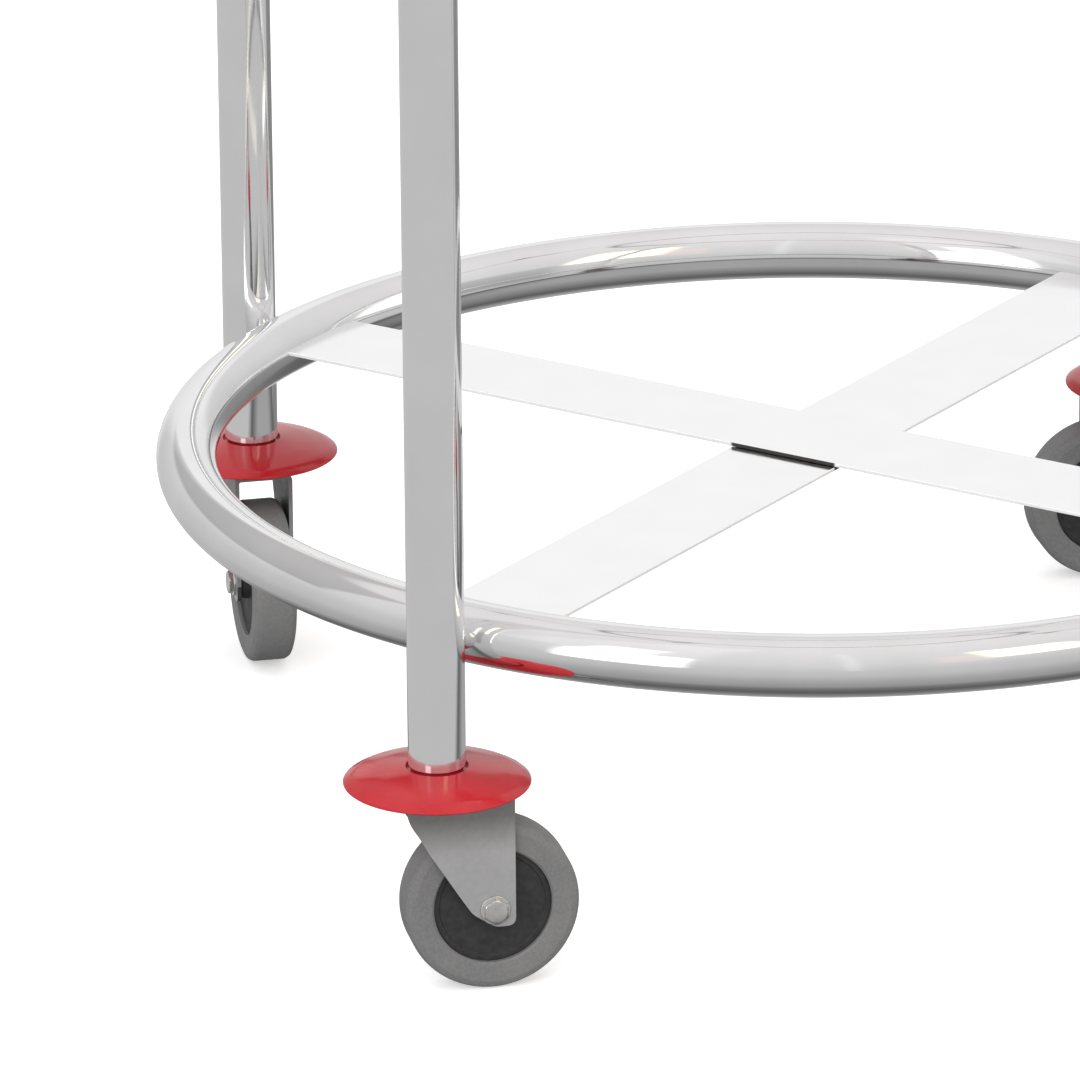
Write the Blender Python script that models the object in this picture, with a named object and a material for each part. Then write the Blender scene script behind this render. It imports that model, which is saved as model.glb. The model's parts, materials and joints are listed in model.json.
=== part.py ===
"""Round garment rack on four swivel casters, in separate pieces. Metres, +Z up.

The origin lies on the rack's upright centre line, at floor level.  Four uprights
stand a quarter turn apart against the outside of the base ring, and two flat bars
cross inside it.  Four inner tubes carry the hanging ring and slide in the uprights,
held by a clamp knob in each collar.  Every upright stands on a caster: a stem in a
socket, a round bumper, a swivel race, a fork, and a wheel on a bolt.
"""

import math

import bmesh
import bpy
from mathutils import Matrix, Vector

# Clearance between pieces that touch.
GAP = 0.0003

# The four uprights: name and direction from the centre, in degrees from +X.
LEGS = {"right": 0.0, "back": 90.0, "left": 180.0, "front": 270.0}

# Base ring.
RING_R = 0.365
RING_TUBE_R = 0.0175
RING_Z = 0.1990
RING_WALL = 0.0018
RING_STEPS = 48
RING_TUBE_SIDES = 12
RING_SEAM = 0.0004

# Uprights: the outer tubes, which stop just above the bumpers.
LEG_R = 0.016
LEG_WALL = 0.0015
LEG_CIRCLE_R = RING_R + RING_TUBE_R + LEG_R + GAP
LEG_BOTTOM = 0.1315
LEG_TOP = 0.940
LEG_SIDES = 16

# Flat cross bars inside the base ring, one resting on the other.
BAR_HALF_WIDTH = 0.035
BAR_THICKNESS = 0.0022
BAR_TOP = 0.2043
BAR_END_R = (RING_R - RING_TUBE_R) * math.cos(math.pi / RING_STEPS) - GAP
BAR_END_POINTS = 5

# Hanging ring and the inner tubes that carry it.
HANG_R = LEG_CIRCLE_R
HANG_TUBE_R = 0.016
HANG_Z = 1.384
INNER_R = 0.014
INNER_WALL = 0.0012
INNER_BOTTOM = 0.440

# Collar at the top of each upright, with a boss for the clamp screw.
COLLAR_R = 0.0206
COLLAR_BOTTOM = LEG_TOP - 0.022
COLLAR_TOP = LEG_TOP + 0.023
COLLAR_CHAMFER = 0.0012
CLAMP_Z = LEG_TOP + 0.0125
BOSS_R = 0.008
BOSS_END = 0.0265

# Clamp knob: a screw with a five-lobed head.
SCREW_R = 0.003
KNOB_R = 0.0155
KNOB_START = BOSS_END + 0.001
KNOB_END = 0.046
KNOB_LOBES = 5
KNOB_LOBE_DEPTH = 0.09
KNOB_SIDES = 4 * KNOB_LOBES

# Wheel: a flat of the tread rests on the floor, so the axle is a little lower than the radius.
WHEEL_R = 0.0493
WHEEL_SIDES = 32
WHEEL_HALF_WIDTH = 0.013
TREAD_HALF_WIDTH = 0.0092
SHOULDER_R = WHEEL_R - 0.0038
AXLE_Z = WHEEL_R * math.cos(math.pi / WHEEL_SIDES)
TRAIL = 0.0285
TRAIL_TURN = 135.0
HUB_R = 0.0331
HUB_FACE = 0.009
HUB_BOSS_R = 0.011
HUB_BOSS_END = 0.0145
HUB_SIDES = 20

# Axle: a flanged bolt and nut that clamp a sleeve between the fork's plates.
AXLE_R = 0.004
AXLE_SIDES = 12
SLEEVE_R = 0.006
HEX_ACROSS_FLATS = 0.013
FLANGE_R = 0.0086
FLANGE_THICKNESS = 0.0012
HEAD_END = 0.0216
NUT_END = 0.0226
BOLT_TIP = 0.0240

# Fork: one sheet bent into a U over the wheel.
FORK_SHEET = 0.0025
FORK_INNER_HALF = 0.015
FORK_OUTER_HALF = FORK_INNER_HALF + FORK_SHEET
FORK_TOP = 0.1187
FORK_BEND_R = 0.003
FORK_REAR = TRAIL + 0.0116
FORK_TOE_DROP = 0.0101
FORK_TOE_R = 0.0055

# Stem, socket, race and bumper on the swivel axis.
STEM_R = 0.0055
STEM_HEAD_R = 0.0085
STEM_HEAD_HEIGHT = 0.003
STEM_TOP = 0.1763
SOCKET_TOP = 0.1803
RACE_R = 0.0215
RACE_TOP = FORK_TOP + 0.0032
BUMPER_R = 0.052
BUMPER_RIM_Z = 0.1218
BUMPER_RIM_HALF = 0.0007
BUMPER_SHOULDER = (0.0465, 0.1252)
BUMPER_BOTTOM = FORK_TOP + 2 * GAP
BUMPER_BOTTOM_R = 0.0465
BUMPER_RECESS_R = RACE_R + 0.0025
BUMPER_TOP = LEG_BOTTOM - GAP
BUMPER_SIDES = 24

SMOOTH_BELOW = math.radians(35.0)


def clear_scene():
    """Remove every object, so that the script gives the same result each run."""
    for item in list(bpy.data.objects):
        bpy.data.objects.remove(item, do_unlink=True)


def principled(name, colour, roughness, metallic):
    """One Principled material."""
    material = bpy.data.materials.new(name)
    material.use_nodes = True
    shader = material.node_tree.nodes["Principled BSDF"]
    shader.inputs["Base Color"].default_value = (*colour, 1.0)
    shader.inputs["Roughness"].default_value = roughness
    shader.inputs["Metallic"].default_value = metallic
    return material


def chrome():
    """Bright chrome plate on the tubes and bars."""
    return principled("chrome", (0.82, 0.82, 0.83), 0.12, 1.0)


def zinc():
    """Light grey zinc on the pressed forks."""
    return principled("zinc", (0.62, 0.62, 0.63), 0.42, 0.8)


def plain_steel():
    """Bright steel of the bolts, nuts, stems and sleeves."""
    return principled("plain_steel", (0.66, 0.66, 0.67), 0.30, 1.0)


def red_plastic():
    """Glossy red plastic of the bumpers."""
    return principled("red_plastic", (0.60, 0.03, 0.04), 0.18, 0.0)


def tyre_rubber():
    """Mid grey rubber."""
    return principled("tyre_rubber", (0.21, 0.21, 0.21), 0.65, 0.0)


def dark_plastic():
    """Dark grey plastic of the hubs."""
    return principled("dark_plastic", (0.05, 0.05, 0.052), 0.50, 0.0)


def black_plastic():
    """Black plastic of the knobs and sockets."""
    return principled("black_plastic", (0.018, 0.018, 0.018), 0.45, 0.0)


def finish_mesh(bm, name):
    """Turn a closed bmesh into a mesh with its faces out and smooth round surfaces."""
    bmesh.ops.recalc_face_normals(bm, faces=bm.faces)
    mesh = bpy.data.meshes.new(name)
    bm.to_mesh(mesh)
    bm.free()
    mesh.shade_smooth()
    mesh.set_sharp_from_angle(angle=SMOOTH_BELOW)
    return mesh


def turned(name, profile, sides, bored, phase=0.0, reshape=None):
    """Spin a profile of (radius, height) points about Z.

    A bored profile is a closed loop that stays off the axis.  Any other profile
    starts and ends on the axis.  reshape may move the finished vertices.
    """
    bm = bmesh.new()
    verts = [bm.verts.new((radius, 0.0, height)) for radius, height in profile]
    edges = [bm.edges.new(pair) for pair in zip(verts, verts[1:])]
    if bored:
        edges.append(bm.edges.new((verts[-1], verts[0])))
    bmesh.ops.rotate(bm, verts=verts, cent=(0, 0, 0), matrix=Matrix.Rotation(phase, 3, "Z"))
    bmesh.ops.spin(
        bm, geom=verts + edges, cent=(0, 0, 0), axis=(0, 0, 1),
        angle=math.tau, steps=sides, use_merge=True,
    )
    bmesh.ops.remove_doubles(bm, verts=bm.verts, dist=1e-6)
    if reshape:
        for vert in bm.verts:
            reshape(vert)
    return finish_mesh(bm, name)


def round_tube(name, outer_r, wall, bottom, top, sides):
    """An upright round tube, open at both ends."""
    bore_r = outer_r - wall
    profile = [(bore_r, bottom), (outer_r, bottom), (outer_r, top), (bore_r, top)]
    return turned(name, profile, sides, bored=True)


def circle_verts(bm, centre_r, radius, sides):
    """Vertices of a circle in the XZ plane, centred at +X."""
    verts = []
    for step in range(sides):
        angle = math.tau * step / sides
        verts.append(bm.verts.new((centre_r + radius * math.cos(angle), 0.0, radius * math.sin(angle))))
    return verts


def tube_ring(name, centre_r, tube_r):
    """A hollow tube bent into a ring, whose two ends almost meet at a seam on +X."""
    bm = bmesh.new()
    seam_angle = RING_SEAM / centre_r
    outer = circle_verts(bm, centre_r, tube_r, RING_TUBE_SIDES)
    bore = circle_verts(bm, centre_r, tube_r - RING_WALL, RING_TUBE_SIDES)
    wall = [
        bm.faces.new((outer[i - 1], outer[i], bore[i], bore[i - 1])) for i in range(RING_TUBE_SIDES)
    ]
    bmesh.ops.rotate(bm, verts=bm.verts, cent=(0, 0, 0), matrix=Matrix.Rotation(seam_angle / 2, 3, "Z"))
    bmesh.ops.spin(
        bm, geom=list(bm.verts) + list(bm.edges) + wall, cent=(0, 0, 0), axis=(0, 0, 1),
        angle=math.tau - seam_angle, steps=RING_STEPS, use_merge=False,
    )
    return finish_mesh(bm, name)


def prism(name, outline, low, high):
    """Extrude an outline of (x, y) points from z low to z high."""
    bm = bmesh.new()
    base = bm.faces.new([bm.verts.new((x, y, low)) for x, y in outline])
    lifted = bmesh.ops.extrude_face_region(bm, geom=[base])["geom"]
    bmesh.ops.translate(
        bm, vec=(0, 0, high - low), verts=[item for item in lifted if isinstance(item, bmesh.types.BMVert)]
    )
    bmesh.ops.recalc_face_normals(bm, faces=bm.faces)
    mesh = bpy.data.meshes.new(name)
    bm.to_mesh(mesh)
    bm.free()
    return mesh


def guide_object(name, mesh, matrix):
    """A temporary object for a Boolean."""
    guide = bpy.data.objects.new(name, mesh)
    guide.matrix_world = matrix
    guide.hide_render = True
    guide.display_type = "WIRE"
    bpy.context.scene.collection.objects.link(guide)
    return guide


def combined(name, start_mesh, steps):
    """Run Boolean steps of (operation, mesh, matrix) on a mesh, and keep only the result."""
    body = guide_object(name, start_mesh, Matrix.Identity(4))
    guides = []
    for number, (operation, mesh, matrix) in enumerate(steps):
        guide = guide_object(f"{name}_guide_{number}", mesh, matrix)
        guides.append(guide)
        step = body.modifiers.new(f"step_{number}", "BOOLEAN")
        step.operation = operation
        step.solver = "EXACT"
        step.object = guide
    bpy.context.view_layer.update()
    evaluated = body.evaluated_get(bpy.context.evaluated_depsgraph_get())
    mesh = bpy.data.meshes.new_from_object(evaluated)
    mesh.name = name
    for item in [body] + guides:
        bpy.data.objects.remove(item, do_unlink=True)
    mesh.materials.clear()
    mesh.shade_smooth()
    mesh.set_sharp_from_angle(angle=SMOOTH_BELOW)
    return mesh


def arc(centre, radius, start_deg, end_deg, steps):
    """Points on an arc, both ends included."""
    points = []
    for step in range(steps + 1):
        angle = math.radians(start_deg + (end_deg - start_deg) * step / steps)
        points.append((centre[0] + radius * math.cos(angle), centre[1] + radius * math.sin(angle)))
    return points


def cross_bar(name, top):
    """A flat bar along X whose ends follow the inside of the base ring."""
    half_angle = math.degrees(math.asin(BAR_HALF_WIDTH / BAR_END_R))
    outline = arc((0, 0), BAR_END_R, -half_angle, half_angle, BAR_END_POINTS - 1)
    outline += arc((0, 0), BAR_END_R, 180 - half_angle, 180 + half_angle, BAR_END_POINTS - 1)
    return prism(name, outline, top - BAR_THICKNESS, top)


def collar_mesh():
    """A stepped collar: a socket on the upright, and a guide round the inner tube."""
    socket_r = LEG_R + GAP
    guide_r = INNER_R + GAP
    step_z = LEG_TOP + GAP
    body = turned("collar_body", [
        (socket_r, COLLAR_BOTTOM),
        (COLLAR_R, COLLAR_BOTTOM),
        (COLLAR_R, COLLAR_TOP - COLLAR_CHAMFER),
        (COLLAR_R - COLLAR_CHAMFER, COLLAR_TOP),
        (guide_r, COLLAR_TOP),
        (guide_r, step_z),
        (socket_r, step_z),
    ], LEG_SIDES, bored=True)
    boss_start = (guide_r + COLLAR_R) / 2
    boss = turned("boss", solid_rod(BOSS_R, boss_start, BOSS_END), AXLE_SIDES, bored=False)
    hole = turned("hole", solid_rod(SCREW_R + GAP, guide_r / 2, 2 * BOSS_END), AXLE_SIDES, bored=False)
    outward = Matrix.Translation((0, 0, CLAMP_Z)) @ Matrix.Rotation(math.pi / 2, 4, "Y")
    return combined("collar", body, [("UNION", boss, outward), ("DIFFERENCE", hole, outward)])


def solid_rod(radius, low, high):
    """Profile of a plain rod along Z."""
    return [(0.0, low), (radius, low), (radius, high), (0.0, high)]


def knob_lobes(vert):
    """Push the knob's head in and out into lobes, and leave its screw round."""
    if vert.co.z < KNOB_START + GAP:
        return
    angle = math.atan2(vert.co.y, vert.co.x)
    stretch = 1.0 + KNOB_LOBE_DEPTH * math.cos(KNOB_LOBES * angle)
    vert.co.x *= stretch
    vert.co.y *= stretch


def knob_mesh():
    """The clamp knob along Z, from the screw's tip on the inner tube to the head's end."""
    tip = INNER_R + GAP
    profile = [
        (0.0, tip),
        (SCREW_R, tip),
        (SCREW_R, KNOB_START),
        (BOSS_R, KNOB_START),
        (KNOB_R, KNOB_START + 0.004),
        (KNOB_R, KNOB_END - 0.003),
        (KNOB_R - 0.004, KNOB_END),
        (0.0, KNOB_END),
    ]
    return turned("clamp_knob", profile, KNOB_SIDES, bored=False, reshape=knob_lobes)


def hexagon_beyond(limit):
    """A reshape that makes a turned piece hexagonal where |z| is above the limit."""
    inner_r = HEX_ACROSS_FLATS / 2

    def reshape(vert):
        radius = math.hypot(vert.co.x, vert.co.y)
        if abs(vert.co.z) < limit or radius < inner_r * 0.9:
            return
        angle = math.degrees(math.atan2(vert.co.y, vert.co.x))
        from_flat = (angle + 30.0) % 60.0 - 30.0
        stretch = 1.0 / math.cos(math.radians(from_flat))
        vert.co.x *= stretch
        vert.co.y *= stretch

    return reshape


def bolt_mesh():
    """Axle bolt along Z: a flanged hexagon head at +Z and a plain shank."""
    seat = FORK_OUTER_HALF + GAP
    flange_end = seat + FLANGE_THICKNESS
    hex_r = HEX_ACROSS_FLATS / 2
    profile = [
        (0.0, -BOLT_TIP),
        (AXLE_R, -BOLT_TIP),
        (AXLE_R, seat),
        (FLANGE_R, seat),
        (FLANGE_R, flange_end),
        (hex_r, flange_end + GAP),
        (hex_r, HEAD_END),
        (0.0, HEAD_END),
    ]
    return turned("axle_bolt", profile, AXLE_SIDES, bored=False, reshape=hexagon_beyond(flange_end + GAP / 2))


def nut_mesh():
    """Flanged hexagon nut on the bolt's shank, at -Z."""
    seat = FORK_OUTER_HALF + GAP
    flange_end = seat + FLANGE_THICKNESS
    bore_r = AXLE_R + GAP
    hex_r = HEX_ACROSS_FLATS / 2
    profile = [
        (bore_r, -NUT_END),
        (hex_r, -NUT_END),
        (hex_r, -flange_end - GAP),
        (FLANGE_R, -flange_end),
        (FLANGE_R, -seat),
        (bore_r, -seat),
    ]
    return turned("axle_nut", profile, AXLE_SIDES, bored=True, reshape=hexagon_beyond(flange_end + GAP / 2))


def sleeve_mesh():
    """Plain sleeve on the bolt, which the wheel turns on."""
    half = FORK_INNER_HALF - GAP
    bore_r = AXLE_R + GAP
    profile = [(bore_r, -half), (SLEEVE_R, -half), (SLEEVE_R, half), (bore_r, half)]
    return turned("axle_sleeve", profile, AXLE_SIDES, bored=True)


def mirrored(half_profile):
    """A closed profile from its upper half, listed from the bore outward."""
    lower = [(radius, -height) for radius, height in half_profile]
    return lower + half_profile[::-1]


def hub_mesh():
    """Wheel hub: a disc recessed in the tyre, with a boss at its bore."""
    half_profile = [
        (SLEEVE_R + 0.0004, HUB_BOSS_END),
        (HUB_BOSS_R - 0.001, HUB_BOSS_END),
        (HUB_BOSS_R, HUB_FACE),
        (HUB_R, HUB_FACE),
    ]
    return turned("hub", mirrored(half_profile), HUB_SIDES, bored=True)


def tyre_mesh():
    """Tyre with rounded shoulders.  Half a facet of turn puts a flat on the floor."""
    half_profile = [
        (HUB_R + 0.0005, WHEEL_HALF_WIDTH - 0.0008),
        (SHOULDER_R, WHEEL_HALF_WIDTH),
        (WHEEL_R, TREAD_HALF_WIDTH),
    ]
    return turned("tyre", mirrored(half_profile), WHEEL_SIDES, bored=True, phase=math.pi / WHEEL_SIDES)


def fork_side_outline():
    """The fork's side, as (distance along the trail, height): a straight rear edge, a toe
    under the axle, and a front edge that slants up past the stem."""
    toe_low = AXLE_Z - FORK_TOE_DROP
    rear_corner = arc((FORK_REAR - FORK_TOE_R, toe_low + FORK_TOE_R), FORK_TOE_R, 0.0, -90.0, 4)
    front = [
        (TRAIL + 0.0010, toe_low),
        (TRAIL - 0.0018, toe_low + 0.0011),
        (TRAIL - 0.0108, toe_low + 0.0073),
        (TRAIL - 0.0148, toe_low + 0.0114),
        (TRAIL - 0.0195, AXLE_Z + 0.0087),
        (TRAIL - 0.0367, AXLE_Z + 0.0360),
        (TRAIL - 0.0420, AXLE_Z + 0.0457),
        (TRAIL - 0.0478, AXLE_Z + 0.0546),
        (TRAIL - 0.0500, FORK_TOP),
    ]
    return [(FORK_REAR, FORK_TOP)] + rear_corner + front


def fork_section_outline():
    """The bent sheet's U section, as (across, height)."""
    low = AXLE_Z - 2 * FORK_TOE_DROP
    inner_bend = FORK_BEND_R - FORK_SHEET
    bend_x = FORK_OUTER_HALF - FORK_BEND_R
    bend_z = FORK_TOP - FORK_BEND_R
    outer = arc((bend_x, bend_z), FORK_BEND_R, 0.0, 90.0, 2)
    inner = arc((bend_x, bend_z), inner_bend, 0.0, 90.0, 1)
    right_outer = [(FORK_OUTER_HALF, low)] + outer
    right_inner = [(FORK_INNER_HALF, low)] + inner
    left_outer = [(-x, z) for x, z in right_outer[::-1]]
    left_inner = [(-x, z) for x, z in right_inner]
    return right_outer + left_outer + left_inner + right_inner[::-1]


def fork_mesh():
    """The fork along +X: its U section cut to its side outline, with stem and axle holes."""
    reach = 2 * FORK_REAR
    upright_sheet = Matrix.Rotation(math.pi / 2, 4, "X")
    along_trail = Matrix.Rotation(math.pi / 2, 4, "Z") @ upright_sheet
    section = prism("section", fork_section_outline(), -reach, reach)
    section.transform(along_trail)
    side = prism("side", fork_side_outline(), -reach, reach)
    hole_phase = math.pi / AXLE_SIDES
    stem_hole = turned(
        "stem_hole", solid_rod(STEM_R + 2 * GAP, FORK_TOP - 0.02, FORK_TOP + 0.02),
        AXLE_SIDES, bored=False, phase=hole_phase,
    )
    axle_hole = turned(
        "axle_hole", solid_rod(AXLE_R + 2 * GAP, -reach, reach), AXLE_SIDES, bored=False, phase=hole_phase,
    )
    return combined("fork", section, [
        ("INTERSECT", side, upright_sheet),
        ("DIFFERENCE", stem_hole, Matrix.Identity(4)),
        ("DIFFERENCE", axle_hole, Matrix.Translation((TRAIL, 0, AXLE_Z)) @ upright_sheet),
    ])


def stem_mesh():
    """Caster stem: a riveted head under the fork, and a pin up into the socket."""
    head_top = FORK_TOP - FORK_SHEET - GAP
    head_low = head_top - STEM_HEAD_HEIGHT
    profile = [
        (0.0, head_low),
        (STEM_HEAD_R - 0.002, head_low),
        (STEM_HEAD_R, head_low + STEM_HEAD_HEIGHT / 2),
        (STEM_HEAD_R, head_top),
        (STEM_R, head_top),
        (STEM_R, STEM_TOP - 0.002),
        (STEM_R - 0.0015, STEM_TOP),
        (0.0, STEM_TOP),
    ]
    return turned("caster_stem", profile, AXLE_SIDES, bored=False)


def socket_mesh():
    """Plastic socket in the foot of an upright, which grips the stem."""
    outer_r = LEG_R - LEG_WALL - 2 * GAP
    return round_tube("stem_socket", outer_r, outer_r - STEM_R - GAP, LEG_BOTTOM + GAP, SOCKET_TOP, AXLE_SIDES)


def race_mesh():
    """Swivel race: a pressed ring between the bumper and the fork."""
    low = FORK_TOP + GAP
    profile = [
        (STEM_R + GAP, low),
        (RACE_R - 0.0025, low),
        (RACE_R, low + 0.0017),
        (RACE_R - 0.0015, RACE_TOP),
        (STEM_R + GAP, RACE_TOP),
    ]
    return turned("swivel_race", profile, LEG_SIDES, bored=True)


def bumper_mesh():
    """Lens-shaped bumper, domed up to the upright and recessed over the race."""
    recess_roof = RACE_TOP + GAP
    profile = [
        (STEM_R + GAP, recess_roof),
        (BUMPER_RECESS_R, recess_roof),
        (BUMPER_RECESS_R, BUMPER_BOTTOM),
        (BUMPER_BOTTOM_R, BUMPER_BOTTOM),
        (BUMPER_R - BUMPER_RIM_HALF, BUMPER_RIM_Z - BUMPER_RIM_HALF),
        (BUMPER_R, BUMPER_RIM_Z),
        (BUMPER_R - BUMPER_RIM_HALF, BUMPER_RIM_Z + BUMPER_RIM_HALF),
        BUMPER_SHOULDER,
        (LEG_R + 0.001, BUMPER_TOP),
        (STEM_R + GAP, BUMPER_TOP),
    ]
    return turned("bumper", profile, BUMPER_SIDES, bored=True)


def empty(name, matrix, parent=None):
    """An empty that carries the pieces of one moving group."""
    holder = bpy.data.objects.new(name, None)
    bpy.context.scene.collection.objects.link(holder)
    holder.parent = parent
    holder.matrix_local = matrix
    return holder


def place(name, mesh, material, parent=None, matrix=Matrix.Identity(4)):
    """One named piece.  Copies of a piece share its mesh."""
    if not mesh.materials:
        mesh.materials.append(material)
    piece = bpy.data.objects.new(name, mesh)
    bpy.context.scene.collection.objects.link(piece)
    piece.parent = parent
    piece.matrix_local = matrix
    return piece


def make_base(metal):
    """The welded base ring and its two crossing bars.  The upper bar runs along X."""
    place("base_ring", tube_ring("base_ring", RING_R, RING_TUBE_R), metal, matrix=Matrix.Translation((0, 0, RING_Z)))
    place("cross_bar_upper", cross_bar("cross_bar_upper", BAR_TOP), metal)
    quarter_turn = Matrix.Rotation(math.pi / 2, 4, "Z")
    lower_top = BAR_TOP - BAR_THICKNESS - GAP
    place("cross_bar_lower", cross_bar("cross_bar_lower", lower_top), metal, matrix=quarter_turn)


def make_uprights(metal, plastic):
    """Uprights, collars and clamp knobs, each set turned so that its knob faces outward."""
    upright = round_tube("upright", LEG_R, LEG_WALL, LEG_BOTTOM, LEG_TOP, LEG_SIDES)
    collar = collar_mesh()
    knob = knob_mesh()
    for name, direction in LEGS.items():
        turn = Matrix.Rotation(math.radians(direction), 4, "Z")
        foot = turn @ Matrix.Translation((LEG_CIRCLE_R, 0, 0))
        place(f"upright_{name}", upright, metal, matrix=foot)
        place(f"collar_{name}", collar, metal, matrix=foot)
        clamp_axis = foot @ Matrix.Translation((0, 0, CLAMP_Z)) @ Matrix.Rotation(math.pi / 2, 4, "Y")
        place(f"clamp_knob_{name}", knob, plastic, matrix=clamp_axis)


def make_upper_frame(metal):
    """The hanging ring on its four inner tubes, which slide up together."""
    slide = empty("upper_frame", Matrix.Identity(4))
    ring = tube_ring("hanging_ring", HANG_R, HANG_TUBE_R)
    place("hanging_ring", ring, metal, slide, Matrix.Translation((0, 0, HANG_Z)))
    tube = round_tube("inner_tube", INNER_R, INNER_WALL, INNER_BOTTOM, HANG_Z - HANG_TUBE_R - GAP, LEG_SIDES)
    for name, direction in LEGS.items():
        turn = Matrix.Rotation(math.radians(direction), 4, "Z")
        place(f"inner_tube_{name}", tube, metal, slide, turn @ Matrix.Translation((LEG_CIRCLE_R, 0, 0)))


def make_casters(fixed, swivelling, rolling):
    """A caster under each upright.

    fixed, swivelling and rolling each map a piece's name to its mesh and material.
    All four forks trail the same way round from their own upright.
    """
    axle_lie = Matrix.Rotation(math.pi / 2, 4, "X")
    for name, direction in LEGS.items():
        angle = math.radians(direction)
        foot = Matrix.Translation(Vector((math.cos(angle), math.sin(angle), 0)) * LEG_CIRCLE_R)
        trail_turn = Matrix.Rotation(angle + math.radians(TRAIL_TURN), 4, "Z")
        swivel = empty(f"swivel_{name}", foot @ trail_turn)
        axle = empty(f"axle_{name}", Matrix.Translation((TRAIL, 0, AXLE_Z)) @ axle_lie, swivel)
        for piece, (mesh, material) in fixed.items():
            place(f"{piece}_{name}", mesh, material, matrix=foot)
        fork, fork_material = swivelling["fork"]
        place(f"fork_{name}", fork, fork_material, swivel)
        for piece in ("axle_bolt", "axle_nut", "axle_sleeve"):
            mesh, material = swivelling[piece]
            place(f"{piece}_{name}", mesh, material, axle)
        for piece, (mesh, material) in rolling.items():
            place(f"{piece}_{name}", mesh, material, axle)


def main():
    """Build the whole rack."""
    clear_scene()
    metal = chrome()
    steel = plain_steel()
    black = black_plastic()
    make_base(metal)
    make_uprights(metal, black)
    make_upper_frame(metal)
    make_casters(
        fixed={
            "caster_stem": (stem_mesh(), steel),
            "stem_socket": (socket_mesh(), black),
            "swivel_race": (race_mesh(), steel),
            "bumper": (bumper_mesh(), red_plastic()),
        },
        swivelling={
            "fork": (fork_mesh(), zinc()),
            "axle_bolt": (bolt_mesh(), steel),
            "axle_nut": (nut_mesh(), steel),
            "axle_sleeve": (sleeve_mesh(), steel),
        },
        rolling={
            "hub": (hub_mesh(), dark_plastic()),
            "tyre": (tyre_mesh(), tyre_rubber()),
        },
    )
    bpy.context.view_layer.update()


main()
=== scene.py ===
"""Looks of the round garment rack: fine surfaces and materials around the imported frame.

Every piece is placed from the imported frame's boxes and joints.  The four uprights and
casters share their meshes.
"""

import json
import math

import bmesh
import bpy
from mathutils import Matrix, Vector


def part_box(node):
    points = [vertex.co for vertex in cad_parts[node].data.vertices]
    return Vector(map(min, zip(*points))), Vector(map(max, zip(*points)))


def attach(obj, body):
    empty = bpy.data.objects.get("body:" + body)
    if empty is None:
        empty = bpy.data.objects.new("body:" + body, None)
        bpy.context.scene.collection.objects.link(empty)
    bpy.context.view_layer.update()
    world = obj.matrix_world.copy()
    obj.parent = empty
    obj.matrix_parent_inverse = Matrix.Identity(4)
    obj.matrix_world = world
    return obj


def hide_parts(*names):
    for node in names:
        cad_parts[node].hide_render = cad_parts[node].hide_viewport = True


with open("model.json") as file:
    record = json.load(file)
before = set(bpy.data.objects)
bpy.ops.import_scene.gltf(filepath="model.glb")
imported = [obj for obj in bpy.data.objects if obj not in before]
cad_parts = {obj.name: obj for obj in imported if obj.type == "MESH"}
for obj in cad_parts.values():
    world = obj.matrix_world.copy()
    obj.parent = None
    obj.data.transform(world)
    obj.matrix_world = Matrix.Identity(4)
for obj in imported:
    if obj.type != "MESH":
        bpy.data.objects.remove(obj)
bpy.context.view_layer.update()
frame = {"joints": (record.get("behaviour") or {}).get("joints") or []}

LEG_NAMES = ("front", "right", "back", "left")
JOINTS = {joint["name"]: joint for joint in frame["joints"]}
MM = 0.001

# The camera stands off the rack's front right corner and looks down on its foot.
CAMERA_PLACE = Vector((2.666, -4.389, 1.9943))
CAMERA_AZIMUTH = math.radians(33.06)
CAMERA_TILT = math.radians(19.85)
CAMERA_ROLL = math.radians(-0.45)
CAMERA_LENS = 311.7

# Edges flatter than this shade smoothly, and a corner less open than this gets guard points.
SMOOTH_BELOW = math.radians(40.0)
SHARP_TURN = math.radians(155.0)

# The most of a straight run that a corner's rounding takes, and that its guard point may.
ROUNDING_SHARE = 0.49
GUARD_SHARE = 0.45


# ---------------------------------------------------------------- sizes from the frame

def middle(node):
    """Centre of a CAD node's box."""
    low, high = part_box(node)
    return (low + high) / 2


def span(node):
    """Size of a CAD node's box."""
    low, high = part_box(node)
    return high - low


def heights(node):
    """Lowest and highest z of a CAD node."""
    low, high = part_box(node)
    return low.z, high.z


def foot_place(name):
    """Where an upright's axis meets the floor."""
    x, y, _ = JOINTS[f"caster_{name}_swivel"]["pos_m"]
    return Vector((x, y, 0.0))


def outward(name):
    """Unit vector from the rack's centre to an upright."""
    return foot_place(name).normalized()


def upright_frame(name):
    """Matrix at an upright's foot with +X pointing out of the rack."""
    out = outward(name)
    side = Vector((0, 0, 1)).cross(out)
    turn = Matrix((out, side, Vector((0, 0, 1)))).transposed()
    return Matrix.Translation(foot_place(name)) @ turn.to_4x4()


def axle_frame(name):
    """Matrix at a wheel's centre: X along the trail, Y up, Z towards the bolt's head."""
    joint = JOINTS[f"wheel_{name}_spin"]
    across = Vector(joint["axis"]).normalized()
    up = Vector((0, 0, 1))
    along = up.cross(across)
    turn = Matrix((along, up, across)).transposed()
    return Matrix.Translation(Vector(joint["pos_m"])) @ turn.to_4x4()


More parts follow.
